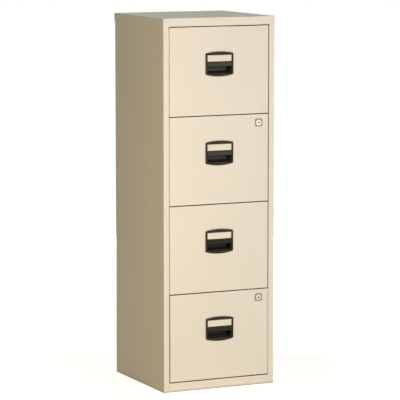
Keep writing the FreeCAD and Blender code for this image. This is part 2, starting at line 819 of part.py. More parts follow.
def handle(number):
    """One moulding: rim, label seat, grip bar and the finger recess behind it."""
    name = f"handle_{number}"
    body = doc.addObject("PartDesign::Body", name)

    plate = new_sketch(body, f"{name}_plate", "XZ_Plane")
    draw_arched_outline(plate, "0")
    flange = add_feature(body, "Pad", plate, "handle_rim_height")
    round_corners(body, flange, "handle_corner", present("handle_half"))

    face = new_sketch(body, f"{name}_face", "XZ_Plane", "handle_rim_height")
    draw_arched_outline(face, "handle_rim_width")
    add_feature(body, "Pocket", face, "handle_rim_height - handle_face_height")

    box = new_sketch(body, f"{name}_box", "XZ_Plane")
    draw_rectangle(box, ("-moulding_half", "moulding_half"), ("moulding_bottom", "moulding_top"))
    walls = add_feature(body, "Pad", box, "recess_depth + handle_wall", backwards=True)
    bind(walls, "TaperAngle", "-mouth_taper")

    ribs = new_sketch(body, f"{name}_ribs", "XZ_Plane", "-sheet - clip_gap")
    rib_middle = "(moulding_bottom + moulding_top) / 2"
    draw_rectangle(
        ribs,
        ("-moulding_half - clip_reach", "moulding_half + clip_reach"),
        (f"{rib_middle} - clip_height / 2", f"{rib_middle} + clip_height / 2"),
    )
    add_feature(body, "Pad", ribs, "clip_depth", backwards=True)

    mouth = new_sketch(body, f"{name}_mouth", "XZ_Plane", "handle_face_height")
    draw_rectangle(mouth, ("-mouth_half", "mouth_half"), ("mouth_bottom", "mouth_top"))
    recess = add_feature(body, "Pocket", mouth, "handle_face_height + recess_depth")
    bind(recess, "TaperAngle", "-mouth_taper")

    grip = new_sketch(body, f"{name}_grip", "YZ_Plane")
    draw_outline(
        grip,
        [
            ("-handle_face_height", "grip_top"),
            ("-grip_rise", "mouth_top + grip_thickness"),
            ("-grip_rise", "mouth_top + grip_thickness / 3"),
            ("-grip_rise + grip_thickness / 3", "mouth_top"),
            ("grip_thickness", "mouth_top"),
            ("grip_thickness", "grip_top"),
        ],
    )
    add_feature(body, "Pad", grip, "mouth_width", midplane=True)

    hollow = new_sketch(body, f"{name}_hollow", "XZ_Plane", "-grip_thickness")
    hollow_half = "mouth_half - (handle_face_height + grip_thickness) * tan(mouth_taper)"
    hollow_up = ("(mouth_top + mouth_bottom) / 2", "moulding_top - handle_wall")
    draw_rectangle(hollow, (f"-({hollow_half})", hollow_half), hollow_up)
    finger_room = add_feature(body, "Pocket", hollow, "recess_depth - grip_thickness")
    bind(finger_room, "TaperAngle", "-mouth_taper")

    slope = new_sketch(body, f"{name}_slope", "YZ_Plane")
    draw_outline(
        slope,
        [
            ("-handle_face_height", "mouth_bottom - mouth_chamfer"),
            ("handle_wall", "mouth_bottom"),
            ("-handle_face_height", "mouth_bottom"),
        ],
    )
    add_feature(body, "Pocket", slope, "mouth_width", midplane=True)

    seat_half = "card_width / 2 + card_clearance"
    seat_up = (
        "card_rise - card_height / 2 - card_clearance",
        "card_rise + card_height / 2 + card_clearance",
    )
    seat = new_sketch(body, f"{name}_seat", "XZ_Plane", "handle_face_height - card_ear_thickness")
    draw_rectangle(seat, (f"-({seat_half})", seat_half), seat_up)
    add_feature(body, "Pocket", seat, "card_depth - card_ear_thickness")

    window = new_sketch(body, f"{name}_window", "XZ_Plane", "handle_face_height")
    draw_rectangle(window, (f"-({seat_half}) + card_ear", f"{seat_half} - card_ear"), seat_up)
    add_feature(body, "Pocket", window, "card_depth")
    return body


def label_card(number):
    """Paper card on the floor of its seat."""
    return block(
        f"card_{number}",
        ("-card_width / 2", "card_width / 2"),
        ("front_face + card_floor - card_thickness", "front_face + card_floor"),
        ("card_rise - card_height / 2", "card_rise + card_height / 2"),
    )


# Lock, about its own axis. The face of the drawer front is at zero depth.


def lock_housing(number):
    """Square bezel and body with a bore, and two hooked ears that guide the bolt."""
    name = f"housing_{number}"
    body = doc.addObject("PartDesign::Body", name)

    bezel = new_sketch(body, f"{name}_bezel", "XZ_Plane")
    draw_rectangle(bezel, ("-bezel_width / 2", "bezel_width / 2"), ("-bezel_width / 2", "bezel_width / 2"))
    plate = add_feature(body, "Pad", bezel, "bezel_height")
    round_corners(body, plate, "bezel_corner", present("bezel_width / 2"))

    core = new_sketch(body, f"{name}_core", "XZ_Plane")
    draw_rectangle(core, ("-housing_half", "housing_half"), ("-housing_half", "housing_half"))
    add_feature(body, "Pad", core, "hook_back", backwards=True)

    bolt_way = new_sketch(body, f"{name}_bolt_way", "XZ_Plane", "-housing_depth")
    draw_rectangle(bolt_way, ("-ear_inside", "ear_inside"), ("-housing_half - sheet", "housing_half + sheet"))
    add_feature(body, "Pocket", bolt_way, "hook_front - housing_depth")

    hook_way = new_sketch(body, f"{name}_hook_way", "XZ_Plane", "-hook_front")
    hook_inside = "ear_inside - hook_reach"
    draw_rectangle(
        hook_way, (f"-({hook_inside})", hook_inside), ("-housing_half - sheet", "housing_half + sheet")
    )
    add_feature(body, "Pocket", hook_way, "2 * hook_thickness")

    face_seat = new_sketch(body, f"{name}_face_seat", "XZ_Plane", "bezel_height")
    draw_circle(face_seat, "plug_face_diameter / 2 + plug_clearance")
    add_feature(body, "Pocket", face_seat, "plug_face_height + plug_clearance")

    bore = new_sketch(body, f"{name}_bore", "XZ_Plane", "bezel_height")
    draw_circle(bore, "plug_diameter / 2 + plug_clearance")
    add_feature(body, "Pocket", bore, "bezel_height + housing_depth")
    return body


def lock_plug(number):
    """Face disc, barrel and square tail, with the keyhole."""
    name = f"plug_{number}"
    body = doc.addObject("PartDesign::Body", name)

    face = new_sketch(body, f"{name}_face", "XZ_Plane", "bezel_height")
    draw_circle(face, "plug_face_diameter / 2")
    add_feature(body, "Pad", face, "plug_face_height", backwards=True)

    barrel = new_sketch(body, f"{name}_barrel", "XZ_Plane", "bezel_height - plug_face_height")
    draw_circle(barrel, "plug_diameter / 2")
    add_feature(body, "Pad", barrel, "bezel_height - plug_face_height + cam_front", backwards=True)

    tail = new_sketch(body, f"{name}_tail", "XZ_Plane", "-cam_front")
    draw_rectangle(tail, ("-tail_width / 2", "tail_width / 2"), ("-tail_width / 2", "tail_width / 2"))
    add_feature(body, "Pad", tail, "cam_thickness", backwards=True)

    key_slot = new_sketch(body, f"{name}_key_slot", "XZ_Plane", "bezel_height")
    draw_rectangle(
        key_slot,
        ("-key_slot_width / 2", "key_slot_width / 2"),
        ("-key_slot_height / 2", "key_slot_height / 2"),
    )
    add_feature(body, "Pocket", key_slot, "key_slot_depth")
    return body


def lock_cam(number):
    """Disc on the tail of the plug, with the pin that lifts the bolt."""
    name = f"cam_{number}"
    body = doc.addObject("PartDesign::Body", name)

    disc = new_sketch(body, f"{name}_disc", "XZ_Plane", "-cam_front")
    draw_circle(disc, "cam_radius")
    draw_rectangle(disc, ("-tail_width / 2", "tail_width / 2"), ("-tail_width / 2", "tail_width / 2"))
    add_feature(body, "Pad", disc, "cam_thickness", backwards=True)

    pin = new_sketch(body, f"{name}_pin", "XZ_Plane", "-cam_front - cam_thickness")
    draw_circle(pin, "pin_diameter / 2", "-pin_offset", "-pin_offset")
    add_feature(body, "Pad", pin, "pin_back - cam_front - cam_thickness", backwards=True)
    return body


def lock_bolt(number):
    """Plate with a slot for the pin and a tongue that reaches the top of the drawer front."""
    name = f"bolt_{number}"
    half_tongue = "tongue_width / 2"
    tip = "lock_drop - tongue_sunk"
    head = "bolt_head - pin_offset"
    foot = "-bolt_foot - pin_offset"
    body = doc.addObject("PartDesign::Body", name)

    plate = new_sketch(body, f"{name}_plate", "XZ_Plane", "-bolt_back")
    draw_outline(
        plate,
        [
            ("-bolt_half", foot),
            ("bolt_half", foot),
            ("bolt_half", head),
            (half_tongue, head),
            (half_tongue, tip),
            (f"-({half_tongue})", tip),
            (f"-({half_tongue})", head),
            ("-bolt_half", head),
        ],
    )
    add_feature(body, "Pad", plate, "bolt_thickness")

    pin_slot = new_sketch(body, f"{name}_pin_slot", "XZ_Plane", "-bolt_front")
    half_slot = "pin_diameter / 2 + pin_clearance"
    past_pin = "pin_diameter / 2 + pin_end_clearance"
    draw_rectangle(
        pin_slot,
        (f"-crank - ({past_pin})", f"-pin_offset + {past_pin}"),
        (f"-pin_offset - ({half_slot})", f"-pin_offset + {half_slot}"),
    )
    add_feature(body, "Pocket", pin_slot, "bolt_thickness")
    return body


# Assembly


def build_carcass():
    right_side = side_panel_right()
    upright = rear_upright()
    finish_part(mirrored("side_left", right_side), "left_side_panel")
    finish_part(right_side, "right_side_panel")
    finish_part(cap(), "top_panel")
    finish_part(back(), "back_panel")
    finish_part(base(), "base_panel")
    finish_part(bottom_rail(), "front_bottom_rail")
    for number in DRAWERS[:-1]:
        finish_part(cross_rail(number), f"cross_rail_{number}")
    finish_part(mirrored("upright_left", upright), "left_rear_upright")
    finish_part(upright, "right_rear_upright")
    finish_part(runner_rivets(), "runner_rivets")


def place_on_front(thing, label, across, up):
    """Set a piece that is drawn about its own middle on the face of a drawer front."""
    finish_part(thing, label, across, up)
    bind(thing, "Placement.Base.y", "front_face")


def build_drawer(number):
    base_height = drawer_base(number)
    shift = f"front_shift_{number}"
    prefix = f"drawer_{number}"
    runner_height = f"{base_height} + runner_rise"
    finish_part(drawer_front(number), f"{prefix}_front", shift, base_height)
    finish_part(drawer_tray(number), f"{prefix}_tray", up=base_height)
    handle_height = f"{base_height} + handle_rise"
    place_on_front(handle(number), f"{prefix}_handle", shift, handle_height)
    card_place = (f"{shift} - card_width / 2", f"{handle_height} + card_rise - card_height / 2")
    finish_part(label_card(number), f"{prefix}_label_card", *card_place)
    finish_part(outer_runners(number), f"{prefix}_outer_runners", up=runner_height)
    finish_part(middle_runners(number), f"{prefix}_intermediate_runners", up=runner_height)
    finish_part(inner_runners(number), f"{prefix}_inner_runners", up=runner_height)
    finish_part(ball_cages(number, "outer"), f"{prefix}_outer_ball_cages", up=runner_height)
    finish_part(ball_cages(number, "inner"), f"{prefix}_inner_ball_cages", up=runner_height)


def build_lock(number):
    across = f"lock_across + front_shift_{number}"
    up = f"{drawer_base(number)} + lock_rise"
    for make, label in (
        (lock_housing, "housing"),
        (lock_plug, "plug"),
        (lock_cam, "cam"),
        (lock_bolt, "bolt"),
    ):
        place_on_front(make(number), f"lock_{number}_{label}", across, up)


def check_and_write():
    """Stop if anything failed, then write one file for each piece."""
    doc.recompute()
    for thing in doc.Objects:
        if "Invalid" in thing.State or "Error" in thing.State:
            raise RuntimeError(f"{thing.Name} failed: {thing.State}")
    for part in parts:
        shape = part.Shape
        if shape.isNull() or not shape.isValid() or not shape.Solids:
            raise RuntimeError(f"{part.Label} has no valid solid")
    os.makedirs("parts", exist_ok=True)
    for part in parts:
        part.Shape.exportStep(f"parts/{part.Label}.step")
        print(f"{part.Label}: {len(part.Shape.Solids)} solids, {part.Shape.Volume / 1000:.1f} cm3")


sizes = make_sheet()
build_carcass()
for drawer in DRAWERS:
    build_drawer(drawer)
for drawer in LOCKED_DRAWERS:
    build_lock(drawer)
check_and_write()
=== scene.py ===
"""Steel filing cabinet with four drawers: finishes, fine shapes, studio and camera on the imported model."""

import json
import math

import bmesh
import bpy
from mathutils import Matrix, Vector

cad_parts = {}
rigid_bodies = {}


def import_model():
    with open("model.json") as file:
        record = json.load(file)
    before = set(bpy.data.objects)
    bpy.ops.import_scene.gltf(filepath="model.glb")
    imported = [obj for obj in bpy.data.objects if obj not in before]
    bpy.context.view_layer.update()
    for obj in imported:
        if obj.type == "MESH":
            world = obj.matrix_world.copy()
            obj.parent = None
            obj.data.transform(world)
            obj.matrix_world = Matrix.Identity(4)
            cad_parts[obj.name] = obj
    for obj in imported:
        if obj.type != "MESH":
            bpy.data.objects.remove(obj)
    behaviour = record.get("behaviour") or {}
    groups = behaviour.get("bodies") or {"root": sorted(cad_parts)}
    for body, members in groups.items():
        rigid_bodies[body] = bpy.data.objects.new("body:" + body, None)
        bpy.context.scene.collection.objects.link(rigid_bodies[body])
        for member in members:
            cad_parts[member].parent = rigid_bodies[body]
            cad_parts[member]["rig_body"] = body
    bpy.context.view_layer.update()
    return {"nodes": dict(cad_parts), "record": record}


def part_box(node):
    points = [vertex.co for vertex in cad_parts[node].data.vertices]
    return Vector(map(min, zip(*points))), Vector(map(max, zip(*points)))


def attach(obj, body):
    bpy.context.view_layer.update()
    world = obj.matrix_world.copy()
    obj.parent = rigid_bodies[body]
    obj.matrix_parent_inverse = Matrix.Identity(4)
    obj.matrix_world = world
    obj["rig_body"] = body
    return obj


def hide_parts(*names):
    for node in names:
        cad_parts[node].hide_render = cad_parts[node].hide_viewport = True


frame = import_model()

MM = 0.001
DRAWERS = (1, 2, 3, 4)
LOCKED_DRAWERS = (2, 4)

# A Mix node has one result for each kind of data, and the colour is the third
MIXED_COLOUR = 2

# Shapes, in millimetres
CAP_FOLD_RADIUS = 1.6
SHEET_FOLD_RADIUS = 1.2
MOULDING_EDGE_RADIUS = 0.6
BEZEL_EDGE_RADIUS = 0.7
PLUG_EDGE_RADIUS = 0.4
RIVET_EDGE_RADIUS = 0.7
WIDEST_CUT_EDGE = 2.0
MERGE_DISTANCE = 0.002

# The rounding of an edge: its steps, and the turn in degrees from which faces meet at an edge and up to which
# they are one flat face
ROUNDING_STEPS = 3
SHARP_EDGE_DEGREES = 32.0
FLAT_FACE_DEGREES = 0.4

# The handle, in millimetres: its flat face along Y, and its mouth and grip from the middle of its outline
HANDLE_FACE_PLACE = -212.3
MOUTH_HALF_WIDTH = 46.0
MOUTH_BOTTOM = -32.5
GRIP_TOP = 5.5

# The lock plug, in millimetres: its face along Y, and its keyhole
PLUG_FACE_PLACE = -212.0
KEYHOLE_HALF_WIDTH = 3.9
KEYHOLE_HALF_HEIGHT = 1.9
KEYHOLE_DEPTH = 8.1

# The mesh attributes that mark the grip and recess of a handle, where light and shade are painted, what lies
# in a keyhole, and how far above the middle of a handle a point is, in millimetres
GRIP_RECESS_MARK = "grip_light"
KEYHOLE_MARK = "keyhole"
RISE_MARK = "rise"

# Ribs on the back wall of the finger recess, in millimetres: the wall along Y, and the ribs from the middle
RECESS_WALL_PLACE = -182.0
RIB_RISES = (-18.5, -24.6)
RIB_HALF_LENGTH = 40.3
RIB_HALF_HEIGHT = 1.5
RIB_DEPTH = 1.2
RIB_STEPS = 8

# Runner balls, in millimetres: their rows from the middle of the cabinet and from the ends of a cage
BALL_RADIUS = 2.0
BALL_ROW_ACROSS = 181.3
BALL_END = 12.0
BALLS_BETWEEN = 4

# Spot welds on the rear flanges, in millimetres: radius and height of the ridge from the inside out, and
# how far the mark reaches into the sheet
WELD_PROFILE = ((2.0, 0.04), (2.7, 0.25), (3.2, 0.22), (3.8, 0.0))
WELD_DENT_HEIGHT = 0.03
WELD_SUNK = 0.3
WELD_STEPS = 20
WELD_INSET = 8.0
WELD_LOWEST = 60.0
WELD_PITCH = 100.0
WELD_COUNT = 12

# Worn edges: how wide they are in millimetres, how alike the rounded and the flat normal are on a flat face
# and on an edge, and how many rays compare them
PAINT_EDGE_WIDTH = 1.5
MOULDING_EDGE_WIDTH = 0.8
FLAT_LIKENESS = 0.995
EDGE_LIKENESS = 0.80
EDGE_SAMPLES = 4

# Painted shade in gaps and corners: how far away the other side may be in millimetres, how open a place is
# where the painted shade begins and where it is darkest, and how many rays measure that
SHADE_GAP_REACH = 12.0
SHADE_CORNER_REACH = 5.0
SHADE_BEGINS = 0.85
SHADE_DARKEST = 0.25
SHADE_SAMPLES = 6

# The painted shadow that the grip casts behind and under itself, in millimetres above the middle of a handle,
# and how dark it is
GRIP_SHADOW_TOP = -6.6
GRIP_SHADOW_BOTTOM = -16.5
GRIP_SHADOW_FADE = 1.0
GRIP_SHADOW_DARKNESS = 0.95

# Painted light in a finger recess on faces that look upwards: the upward lean from which it begins and at
# which it is full, with 0 for an upright face and 1 for a level one, and how strong it is there
UPLIGHT_FROM = 0.5
UPLIGHT_FULLY = 0.9
UPLIGHT_SHARE = 0.8

# The grip and recess take their painted shade up to the first height and their painted light from the second,
# in millimetres
LEAST_LIT_HANDLE_HEIGHT = 480.0
MOST_LIT_HANDLE_HEIGHT = 900.0

# The whole range of a share, and the part of it in which nearly all of a noise pattern lies
WHOLE_RANGE = (0.0, 1.0)
NOISE_RANGE = (0.3, 0.7)

# Paint and plastics bend light alike
POLYMER_IOR = 1.5

# Lines on rolled strip are this many times as long as wide, and its roughness swings this much either way
ROLLED_STRETCH = 40
ROLLED_SWING = 0.06

# Painted shade and painted light, as sRGB codes
PAINTED_SHADE = "0C0A07"
PAINTED_UPLIGHT = "4A4030"
PAINTED_METAL_SHADE = "1A140E"

# The room: how much its walls light the object, of 1 for plain white, and their tint
AMBIENT_LEVEL = 0.05
AMBIENT_COLOUR = "F2FFF4"
PLAIN_WHITE = "FFFFFF"

# The floor, in metres from its middle, and the glow that lifts it to white, least near the object
FLOOR_HALF_WIDTH = 12.0
FLOOR_NEAR = 0.5
FLOOR_FAR = 1.6
FLOOR_LIFT_NEAR = 0.72
FLOOR_LIFT_FAR = 1.0

# Camera, as the photograph was taken
CAMERA_PLACE = (-3.5071, -7.5621, 1.7009)
CAMERA_AZIMUTH = -25.035
CAMERA_ELEVATION = 7.310
SENSOR_WIDTH = 36.0
FOCAL_LENGTH = 215.56


def linear(code):
    """Turns an sRGB hex code into the linear colour that a shader socket takes."""
    channels = [int(code[place:place + 2], 16) / 255 for place in (0, 2, 4)]
    return [c / 12.92 if c <= 0.04045 else ((c + 0.055) / 1.055) ** 2.4 for c in channels] + [1.0]


def per_metre(size):
    """The texture scale at which one feature of a pattern is this many millimetres wide."""
    return 1 / (size * MM)


def add_node(tree, kind, inputs=None, settings=None):
    """Adds a node. An input goes by its identifier, name or number, and takes a value or the output that it
    is linked from. Settings are the node's own choices."""
    made = tree.nodes.new(kind)
    for name, value in (settings or {}).items():
        setattr(made, name, value)
    sockets = {socket.identifier: socket for socket in made.inputs}
    for name, value in (inputs or {}).items():
        socket = sockets[name] if name in sockets else made.inputs[name]
        if isinstance(value, bpy.types.NodeSocket):
            tree.links.new(value, socket)
        else:
            socket.default_value = value
    return made


def new_material(name):
    """An empty node material, its tree and the object coordinates that its patterns read."""
    material = bpy.data.materials.new(name)
    material.use_nodes = True
    tree = material.node_tree
    tree.nodes.clear()
    place = add_node(tree, "ShaderNodeTexCoord").outputs["Object"]
    return material, tree, place


def noise(tree, place, width, detail):
    """A cloudy pattern with features this many millimetres wide."""
    inputs = {"Vector": place, "Scale": per_metre(width), "Detail": detail}
    return add_node(tree, "ShaderNodeTexNoise", inputs).outputs["Fac"]


def drawn_out_noise(tree, place, widths, detail):
    """A pattern of fibres or lines, with a width in millimetres for each axis. The noise node's own scale
    packs five features into each width."""
    scales = [per_metre(width) for width in widths]
    drawn = add_node(tree, "ShaderNodeMapping", {"Vector": place, "Scale": scales})
    inputs = {"Vector": drawn.outputs["Vector"], "Detail": detail}
    return add_node(tree, "ShaderNodeTexNoise", inputs).outputs["Fac"]


def blended(tree, share, first, second):
    """A mixed colour with this share of the second. A colour is an sRGB code or another node's output."""
    inputs = {"Factor_Float": share}
    for name, colour in (("A_Color", first), ("B_Color", second)):
        inputs[name] = linear(colour) if isinstance(colour, str) else colour
    return add_node(tree, "ShaderNodeMix", inputs, {"data_type": "RGBA"}).outputs[MIXED_COLOUR]


def combined(tree, operation, first, second):
    """One step of arithmetic with two outputs."""
    return add_node(tree, "ShaderNodeMath", {0: first, 1: second}, {"operation": operation}).outputs["Value"]


def remapped(tree, value, before, after):
    """Carries an output over from one range to another, and keeps it inside."""
    inputs = {
        "Value": value,
        "From Min": before[0],
        "From Max": before[1],
        "To Min": after[0],
        "To Max": after[1],
    }
    return add_node(tree, "ShaderNodeMapRange", inputs).outputs["Result"]


def relief(tree, height, strength, depth, under=None):
    """The normal of a surface with a relief this many millimetres deep, which may lie on another relief."""
    inputs = {"Strength": strength, "Distance": depth * MM, "Height": height}
    if under is not None:
        inputs["Normal"] = under
    return add_node(tree, "ShaderNodeBump", inputs).outputs["Normal"]


def mesh_mark(tree, name):
    """What a mesh attribute says, and 0 where a mesh has none of that name."""
    return add_node(tree, "ShaderNodeAttribute", settings={"attribute_name": name}).outputs["Fac"]


def end_with_shader(tree, inputs):
    """Gives a material its one shader."""
    shader = add_node(tree, "ShaderNodeBsdfPrincipled", inputs)
    add_node(tree, "ShaderNodeOutputMaterial", {"Surface": shader.outputs["BSDF"]})


def edge_share(tree, width):
    """How near a point is to an outside or inside edge: 0 on a flat face and towards 1 on the edge itself."""
    rounded = add_node(tree, "ShaderNodeBevel", {"Radius": width * MM}, {"samples": EDGE_SAMPLES})
    flat = add_node(tree, "ShaderNodeNewGeometry")
    normals = {0: rounded.outputs["Normal"], 1: flat.outputs["Normal"]}
    likeness = add_node(tree, "ShaderNodeVectorMath", normals, {"operation": "DOT_PRODUCT"}).outputs["Value"]
    return remapped(tree, likeness, (FLAT_LIKENESS, EDGE_LIKENESS), WHOLE_RANGE)


def shade_in_gaps(tree, reach, most):
    """How much painted shade a point gets for lying deep in a gap or corner: 0 in the open, and up to the
    given most in a narrow gap.
    """
    inputs = {"Distance": reach * MM}
    openness = add_node(tree, "ShaderNodeAmbientOcclusion", inputs, {"samples": SHADE_SAMPLES}).outputs["AO"]
    return remapped(tree, openness, (SHADE_BEGINS, SHADE_DARKEST), (0.0, most))


def grip_shadow_share(tree, marked):
    """How much painted shadow of the grip lies behind and under it: a level band with soft edges, only where
    the mesh is marked as grip and recess, so not on the rim."""
    rise = mesh_mark(tree, RISE_MARK)
    below, above = [
        remapped(tree, rise, (limit, limit + fade), (0.0, GRIP_SHADOW_DARKNESS))
        for limit, fade in ((GRIP_SHADOW_TOP, -GRIP_SHADOW_FADE), (GRIP_SHADOW_BOTTOM, GRIP_SHADOW_FADE))
    ]
    band = combined(tree, "MINIMUM", below, above)
    return combined(tree, "MINIMUM", band, marked)


def upward_light_share(tree, marked):
    """How much painted light lies on what looks upwards, only where the mesh is marked as grip and recess."""
    facing = add_node(tree, "ShaderNodeNewGeometry").outputs["Normal"]
    upward = add_node(tree, "ShaderNodeSeparateXYZ", {"Vector": facing}).outputs["Z"]
    lit_upward = remapped(tree, upward, (UPLIGHT_FROM, UPLIGHT_FULLY), (0.0, UPLIGHT_SHARE))
    return combined(tree, "MINIMUM", lit_upward, marked)


def powder_coated_steel(name, colour, mottled, worn, gap_shade_colour):
    """Polyester powder coat, baked on folded sheet steel: a satin skin with a fine orange peel. The sheet
    under it is never quite flat. The coat is thinner and a little polished along the folds, and the gaps
    and corners are painted darker as shade."""
    material, tree, place = new_material(name)
    broad = noise(tree, place, width=160, detail=0.0)
    tone = blended(tree, broad, colour, mottled)
    scuffs = noise(tree, place, width=14, detail=3.0)
    rubbed = combined(tree, "MULTIPLY", edge_share(tree, PAINT_EDGE_WIDTH), scuffs)
    skin = blended(tree, rubbed, tone, worn)
    # Gaps and corners are painted darker and rougher, as shade
    gap_shade_share = shade_in_gaps(tree, SHADE_GAP_REACH, most=0.95)
    shaded = blended(tree, gap_shade_share, skin, gap_shade_colour)
    satin = remapped(tree, scuffs, NOISE_RANGE, (0.46, 0.52))
    roughness = combined(tree, "MAXIMUM", satin, gap_shade_share)
    # Real orange peel is about 1 mm across. It is drawn at 2.5 mm, so that it shows at arm's length.
    peel = noise(tree, place, width=2.5, detail=2.0)
    wavy = relief(tree, broad, strength=0.5, depth=0.3)
    bumpy = relief(tree, peel, strength=0.35, depth=0.05, under=wavy)
    end_with_shader(
        tree,
        {
            "Base Color": shaded,
            "Roughness": roughness,
            "IOR": POLYMER_IOR,
            "Specular IOR Level": 0.5,
            "Normal": bumpy,
        },
    )
    return material


def moulded_abs(name, colour, worn, shine, inner=None, grip_light=None):
    """Moulded ABS with a spark-eroded grain: nearly matt, paler on the edges, and painted darker as shade in
    the corners. Where a mesh is marked as grip and recess, it has a painted tone of light and shade, dark on
    the lower drawers and lighter on the upper ones, a painted shadow under the grip, and painted light on what
    looks upwards."""
    material, tree, place = new_material(name)
    cloudy = noise(tree, place, width=22, detail=2.0)
    touched = combined(tree, "MULTIPLY", edge_share(tree, MOULDING_EDGE_WIDTH), cloudy)
    skin = blended(tree, touched, colour, worn)
    height = add_node(tree, "ShaderNodeSeparateXYZ", {"Vector": place}).outputs["Z"]
    lit_share = remapped(tree, height, (LEAST_LIT_HANDLE_HEIGHT * MM, MOST_LIT_HANDLE_HEIGHT * MM), WHOLE_RANGE)
    marked = mesh_mark(tree, GRIP_RECESS_MARK)
    # The grip and recess get a painted tone of shade and light, lighter on the upper handles
    painted_tone = blended(tree, marked, skin, blended(tree, lit_share, inner or colour, grip_light or colour))
    # Corners and the band under the grip are painted dark as shade, and what looks upwards is painted lighter
    gap_shade_share = shade_in_gaps(tree, SHADE_CORNER_REACH, most=0.45)
    shaded = blended(tree, combined(tree, "MAXIMUM", gap_shade_share, grip_shadow_share(tree, marked)), painted_tone, PAINTED_SHADE)
    uplit = blended(tree, upward_light_share(tree, marked), shaded, PAINTED_UPLIGHT)
    roughness = remapped(tree, cloudy, NOISE_RANGE, (0.42, 0.56))
    grain = noise(tree, place, width=0.6, detail=3.0)
    end_with_shader(
        tree,
        {
            "Base Color": uplit,
            "Roughness": roughness,
            "IOR": POLYMER_IOR,
            "Specular IOR Level": shine,
            "Normal": relief(tree, grain, strength=0.5, depth=0.04),
        },
    )
    return material


def index_card(name, colour, fibre):
    """Uncoated index card: matt, with pressed fibres lying mostly along the card."""
    material, tree, place = new_material(name)
    fibres = drawn_out_noise(tree, place, widths=(6, 1, 1.2), detail=4.0)
    end_with_shader(
        tree,
        {
            "Base Color": blended(tree, fibres, colour, fibre),
            "Roughness": 0.85,
            "Normal": relief(tree, fibres, strength=0.4, depth=0.05),
        },
    )
    return material


def plated_strip(name, colour, clouded, grain, roughness):
    """Cold-rolled steel strip with bright plating: fine lines along the rolling direction, a faint cloudy
    bloom, and painted shade in the narrow places and the keyhole."""
    material, tree, place = new_material(name)
    lines = drawn_out_noise(tree, place, widths=(grain, ROLLED_STRETCH * grain, grain), detail=3.0)
    tone = blended(tree, noise(tree, place, width=12, detail=3.0), colour, clouded)
    # Narrow places and the keyhole are painted dark as shade
    gap_shade_share = shade_in_gaps(tree, SHADE_CORNER_REACH, most=0.9)
    metal_shade = combined(tree, "MAXIMUM", gap_shade_share, mesh_mark(tree, KEYHOLE_MARK))
    limits = (roughness - ROLLED_SWING, roughness + ROLLED_SWING)
    end_with_shader(
        tree,
        {
            "Base Color": blended(tree, metal_shade, tone, PAINTED_METAL_SHADE),
            "Metallic": 1.0,
            "Roughness": remapped(tree, lines, NOISE_RANGE, limits),
            "Normal": relief(tree, lines, strength=0.3, depth=0.02),
        },
    )
    return material


FINISHES = {
    # The last colour of the cream paint is the painted shade in its gaps and corners
    "cream_paint": powder_coated_steel(
        "powder_coated_steel_cream", colour="EDE0CB", mottled="EBDEC8", worn="F2EADB", gap_shade_colour="44300C"
    ),
    # The two inner tones of the black plastic are the painted shade and the painted light in the grip and
    # recess
    "black_plastic": moulded_abs(
        "moulded_abs_black", colour="2C2211", worn="3E3420", shine=0.14, inner="15160F", grip_light="45453A"
    ),
    "label_card": index_card("uncoated_card_cream", colour="F4EAD6", fibre="EEE2CA"),
    "zinc_steel": plated_strip(
        "zinc_plated_strip", colour="C9CCCE", clouded="B4B8BC", grain=0.5, roughness=0.36
    ),
    "bearing_steel": plated_strip(
        "bright_bearing_steel", colour="D2D2D4", clouded="C2C2C6", grain=0.8, roughness=0.24
    ),
    "lock_bezel": moulded_abs("moulded_abs_light_grey", colour="A2947A", worn="CCC0AA", shine=0.4),
    "lock_nickel": plated_strip(
        "satin_nickel_plate", colour="ACA495", clouded="A29A8B", grain=0.6, roughness=0.42
    ),
}


def finish_of(node):
    """The record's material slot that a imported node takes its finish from."""
    for part in frame["record"]["subparts"]:
        if part["node"] == node:
            return part["material_slot"]
    raise KeyError(node)


def dress(obj, slot):
    """Gives a piece the one finish of its material slot."""
    obj.data.materials.clear()
    obj.data.materials.append(FINISHES[slot])


def new_object(name, content):
    """Puts a mesh, a lamp or a lens in the scene as an object of its own."""
    made = bpy.data.objects.new(name, content)
    bpy.context.scene.collection.objects.link(made)
    return made


def is_wide(face):
    """True for a face of the sheet, and False for the narrow strip along a cut edge of it."""
    width = 2 * face.calc_area() / sum(edge.calc_length() for edge in face.edges)
    return width > WIDEST_CUT_EDGE * MM


def is_rounded(edge, folds_only):
    """True for an outside corner. Folded sheet has a bend only where two wide faces meet."""
    if len(edge.link_faces) != 2 or edge.calc_face_angle_signed() < math.radians(SHARP_EDGE_DEGREES):
        return False
    return not folds_only or all(is_wide(face) for face in edge.link_faces)


